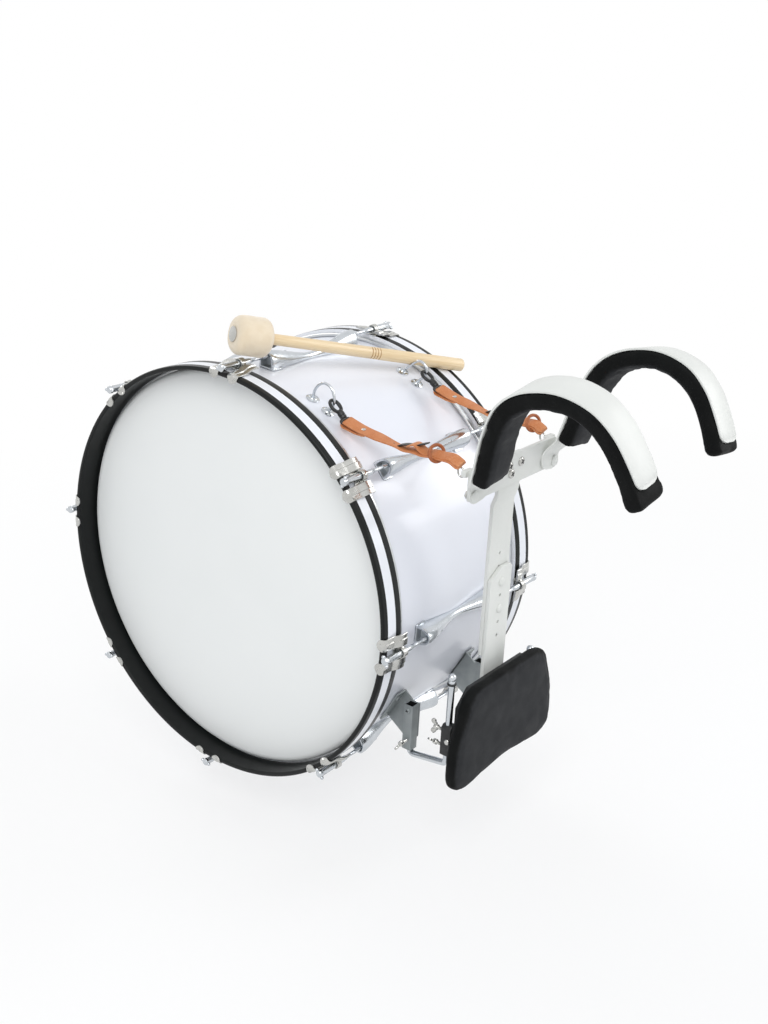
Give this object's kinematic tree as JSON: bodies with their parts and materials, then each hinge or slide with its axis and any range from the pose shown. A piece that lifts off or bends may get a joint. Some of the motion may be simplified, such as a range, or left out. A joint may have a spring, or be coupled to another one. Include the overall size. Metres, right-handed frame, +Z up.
{
  "type": "marching bass drum",
  "caption": "Marching bass drum with tensioned heads, held on a shoulder carrier with padded loops and a belly pad, with its felt mallet.",
  "frame": {"origin": "on the underside of the two shoulder pads' crowns, midway between them, where the wearer's shoulders carry the set", "axes": "+X along the drum's axis, +Y the way the wearer faces, from the wearer to the drum, +Z up"},
  "size_m": [0.3836, 0.9862, 0.7189],
  "materials": {
    "white_lacquer": "gloss white lacquer over ply",
    "head_film": "smooth white film, slightly matt",
    "hoop_lacquer": "white lacquer with black edge stripes; claws nickel plated",
    "chrome": "polished chrome",
    "nickel": "satin nickel",
    "carrier_paint": "off-white powder paint",
    "grey_steel": "grey zinc plated steel",
    "black_cover": "black foam-backed cover",
    "black_steel": "black paint",
    "leather": "tan strap leather",
    "handle_wood": "clear finished pale hardwood",
    "felt": "pressed wool felt"
  },
  "bodies": {
    "carrier_upper": {"crossbar": "carrier_paint", "upper_bar": "carrier_paint"},
    "shoulder_left": {"shoulder_strip_left": "carrier_paint", "shoulder_pad_left": "black_cover", "shoulder_bolt_left": "nickel"},
    "shoulder_right": {"shoulder_strip_right": "carrier_paint", "shoulder_pad_right": "black_cover", "shoulder_bolt_right": "nickel"},
    "drum": {"shell": "white_lacquer", "head_left": "head_film", "head_right": "head_film", "hoop_left_with_claws": "hoop_lacquer", "hoop_right_with_claws": "hoop_lacquer", "lug_1": "chrome", "lug_2": "chrome", "lug_3": "chrome", "lug_4": "chrome", "lug_5": "chrome", "lug_6": "chrome", "lug_7": "chrome", "lug_8": "chrome", "bracket_left": "grey_steel", "anchor_left": "chrome", "snap_hook_left": "black_steel", "strap_left": "leather", "bracket_right": "grey_steel", "anchor_right": "chrome", "snap_hook_right": "black_steel", "strap_right": "leather"},
    "carrier_lower": {"lower_bar": "carrier_paint", "belly_board": "black_steel", "belly_pad": "black_cover", "clamp_block_left": "black_steel", "j_rod_left": "chrome", "clamp_block_right": "black_steel", "j_rod_right": "chrome"},
    "mallet": {"mallet_handle": "handle_wood", "mallet_head": "felt"},
    "t_rod_left_1_body": {"t_rod_left_1": "chrome"},
    "t_rod_left_2_body": {"t_rod_left_2": "chrome"},
    "t_rod_left_3_body": {"t_rod_left_3": "chrome"},
    "t_rod_left_4_body": {"t_rod_left_4": "chrome"},
    "t_rod_left_5_body": {"t_rod_left_5": "chrome"},
    "t_rod_left_6_body": {"t_rod_left_6": "chrome"},
    "t_rod_left_7_body": {"t_rod_left_7": "chrome"},
    "t_rod_left_8_body": {"t_rod_left_8": "chrome"},
    "t_rod_right_1_body": {"t_rod_right_1": "chrome"},
    "t_rod_right_2_body": {"t_rod_right_2": "chrome"},
    "t_rod_right_3_body": {"t_rod_right_3": "chrome"},
    "t_rod_right_4_body": {"t_rod_right_4": "chrome"},
    "t_rod_right_5_body": {"t_rod_right_5": "chrome"},
    "t_rod_right_6_body": {"t_rod_right_6": "chrome"},
    "t_rod_right_7_body": {"t_rod_right_7": "chrome"},
    "t_rod_right_8_body": {"t_rod_right_8": "chrome"},
    "wing_tube_left_body": {"wing_tube_left": "nickel"},
    "wing_tube_right_body": {"wing_tube_right": "nickel"},
    "wing_upper_left_body": {"wing_upper_left": "nickel"},
    "wing_lower_left_body": {"wing_lower_left": "nickel"},
    "wing_upper_right_body": {"wing_upper_right": "nickel"},
    "wing_lower_right_body": {"wing_lower_right": "nickel"}
  },
  "joints": [
    {"name": "shoulder_left_tilt", "type": "hinge", "parent": "carrier_upper", "child": "shoulder_left", "pos_m": [-0.0987, 0.15051, -0.1474], "axis": [0, 0.9982, 0.0593], "range_deg": [-6, 12]},
    {"name": "shoulder_right_tilt", "type": "hinge", "parent": "carrier_upper", "child": "shoulder_right", "pos_m": [0.0987, 0.15051, -0.1474], "axis": [0, -0.9982, -0.0593], "range_deg": [-6, 12]},
    {"name": "drum_height", "type": "slide", "parent": "carrier_upper", "child": "drum", "axis": [0, -0.0593, 0.9982], "range_m": [-0.05, 0.025], "deforming": ["strap_left", "strap_right"]},
    {"name": "lower_frame_slide", "type": "slide", "parent": "drum", "child": "carrier_lower", "axis": [0, -0.0593, 0.9982], "range_m": [-0.045, 0]},
    {"name": "mallet_lift", "type": "slide", "parent": "drum", "child": "mallet", "axis": [0, 0, 1], "range_m": [0, 0.15]},
    {"name": "t_rod_left_1_turn", "type": "hinge", "parent": "drum", "child": "t_rod_left_1_body", "pos_m": [-0.165, 0.8567, -0.3005], "axis": [1, 0, 0], "continuous": true},
    {"name": "t_rod_left_2_turn", "type": "hinge", "parent": "drum", "child": "t_rod_left_2_body", "pos_m": [-0.165, 0.73685, -0.08428], "axis": [1, 0, 0], "continuous": true},
    {"name": "t_rod_left_3_turn", "type": "hinge", "parent": "drum", "child": "t_rod_left_3_body", "pos_m": [-0.165, 0.49921, -0.01614], "axis": [1, 0, 0], "continuous": true},
    {"name": "t_rod_left_4_turn", "type": "hinge", "parent": "drum", "child": "t_rod_left_4_body", "pos_m": [-0.165, 0.28299, -0.13599], "axis": [1, 0, 0], "continuous": true},
    {"name": "t_rod_left_5_turn", "type": "hinge", "parent": "drum", "child": "t_rod_left_5_body", "pos_m": [-0.165, 0.21485, -0.37363], "axis": [1, 0, 0], "continuous": true},
    {"name": "t_rod_left_6_turn", "type": "hinge", "parent": "drum", "child": "t_rod_left_6_body", "pos_m": [-0.165, 0.3347, -0.58985], "axis": [1, 0, 0], "continuous": true},
    {"name": "t_rod_left_7_turn", "type": "hinge", "parent": "drum", "child": "t_rod_left_7_body", "pos_m": [-0.165, 0.57234, -0.65799], "axis": [1, 0, 0], "continuous": true},
    {"name": "t_rod_left_8_turn", "type": "hinge", "parent": "drum", "child": "t_rod_left_8_body", "pos_m": [-0.165, 0.78856, -0.53814], "axis": [1, 0, 0], "continuous": true},
    {"name": "t_rod_right_1_turn", "type": "hinge", "parent": "drum", "child": "t_rod_right_1_body", "pos_m": [0.165, 0.8567, -0.3005], "axis": [1, 0, 0], "continuous": true},
    {"name": "t_rod_right_2_turn", "type": "hinge", "parent": "drum", "child": "t_rod_right_2_body", "pos_m": [0.165, 0.73685, -0.08428], "axis": [1, 0, 0], "continuous": true},
    {"name": "t_rod_right_3_turn", "type": "hinge", "parent": "drum", "child": "t_rod_right_3_body", "pos_m": [0.165, 0.49921, -0.01614], "axis": [1, 0, 0], "continuous": true},
    {"name": "t_rod_right_4_turn", "type": "hinge", "parent": "drum", "child": "t_rod_right_4_body", "pos_m": [0.165, 0.28299, -0.13599], "axis": [1, 0, 0], "continuous": true},
    {"name": "t_rod_right_5_turn", "type": "hinge", "parent": "drum", "child": "t_rod_right_5_body", "pos_m": [0.165, 0.21485, -0.37363], "axis": [1, 0, 0], "continuous": true},
    {"name": "t_rod_right_6_turn", "type": "hinge", "parent": "drum", "child": "t_rod_right_6_body", "pos_m": [0.165, 0.3347, -0.58985], "axis": [1, 0, 0], "continuous": true},
    {"name": "t_rod_right_7_turn", "type": "hinge", "parent": "drum", "child": "t_rod_right_7_body", "pos_m": [0.165, 0.57234, -0.65799], "axis": [1, 0, 0], "continuous": true},
    {"name": "t_rod_right_8_turn", "type": "hinge", "parent": "drum", "child": "t_rod_right_8_body", "pos_m": [0.165, 0.78856, -0.53814], "axis": [1, 0, 0], "continuous": true},
    {"name": "wing_tube_left_turn", "type": "hinge", "parent": "drum", "child": "wing_tube_left_body", "pos_m": [-0.1, 0.2467, -0.54399], "axis": [1, 0, 0], "continuous": true},
    {"name": "wing_tube_right_turn", "type": "hinge", "parent": "drum", "child": "wing_tube_right_body", "pos_m": [0.1, 0.2467, -0.54399], "axis": [1, 0, 0], "continuous": true},
    {"name": "wing_upper_left_turn", "type": "hinge", "parent": "carrier_lower", "child": "wing_upper_left_body", "pos_m": [-0.103, 0.17937, -0.49831], "axis": [0, 0.9982, 0.0593], "continuous": true},
    {"name": "wing_lower_left_turn", "type": "hinge", "parent": "carrier_lower", "child": "wing_lower_left_body", "pos_m": [-0.103, 0.18079, -0.52226], "axis": [0, 0.9982, 0.0593], "continuous": true},
    {"name": "wing_upper_right_turn", "type": "hinge", "parent": "carrier_lower", "child": "wing_upper_right_body", "pos_m": [0.103, 0.17937, -0.49831], "axis": [0, 0.9982, 0.0593], "continuous": true},
    {"name": "wing_lower_right_turn", "type": "hinge", "parent": "carrier_lower", "child": "wing_lower_right_body", "pos_m": [0.103, 0.18079, -0.52226], "axis": [0, 0.9982, 0.0593], "continuous": true}
  ]
}
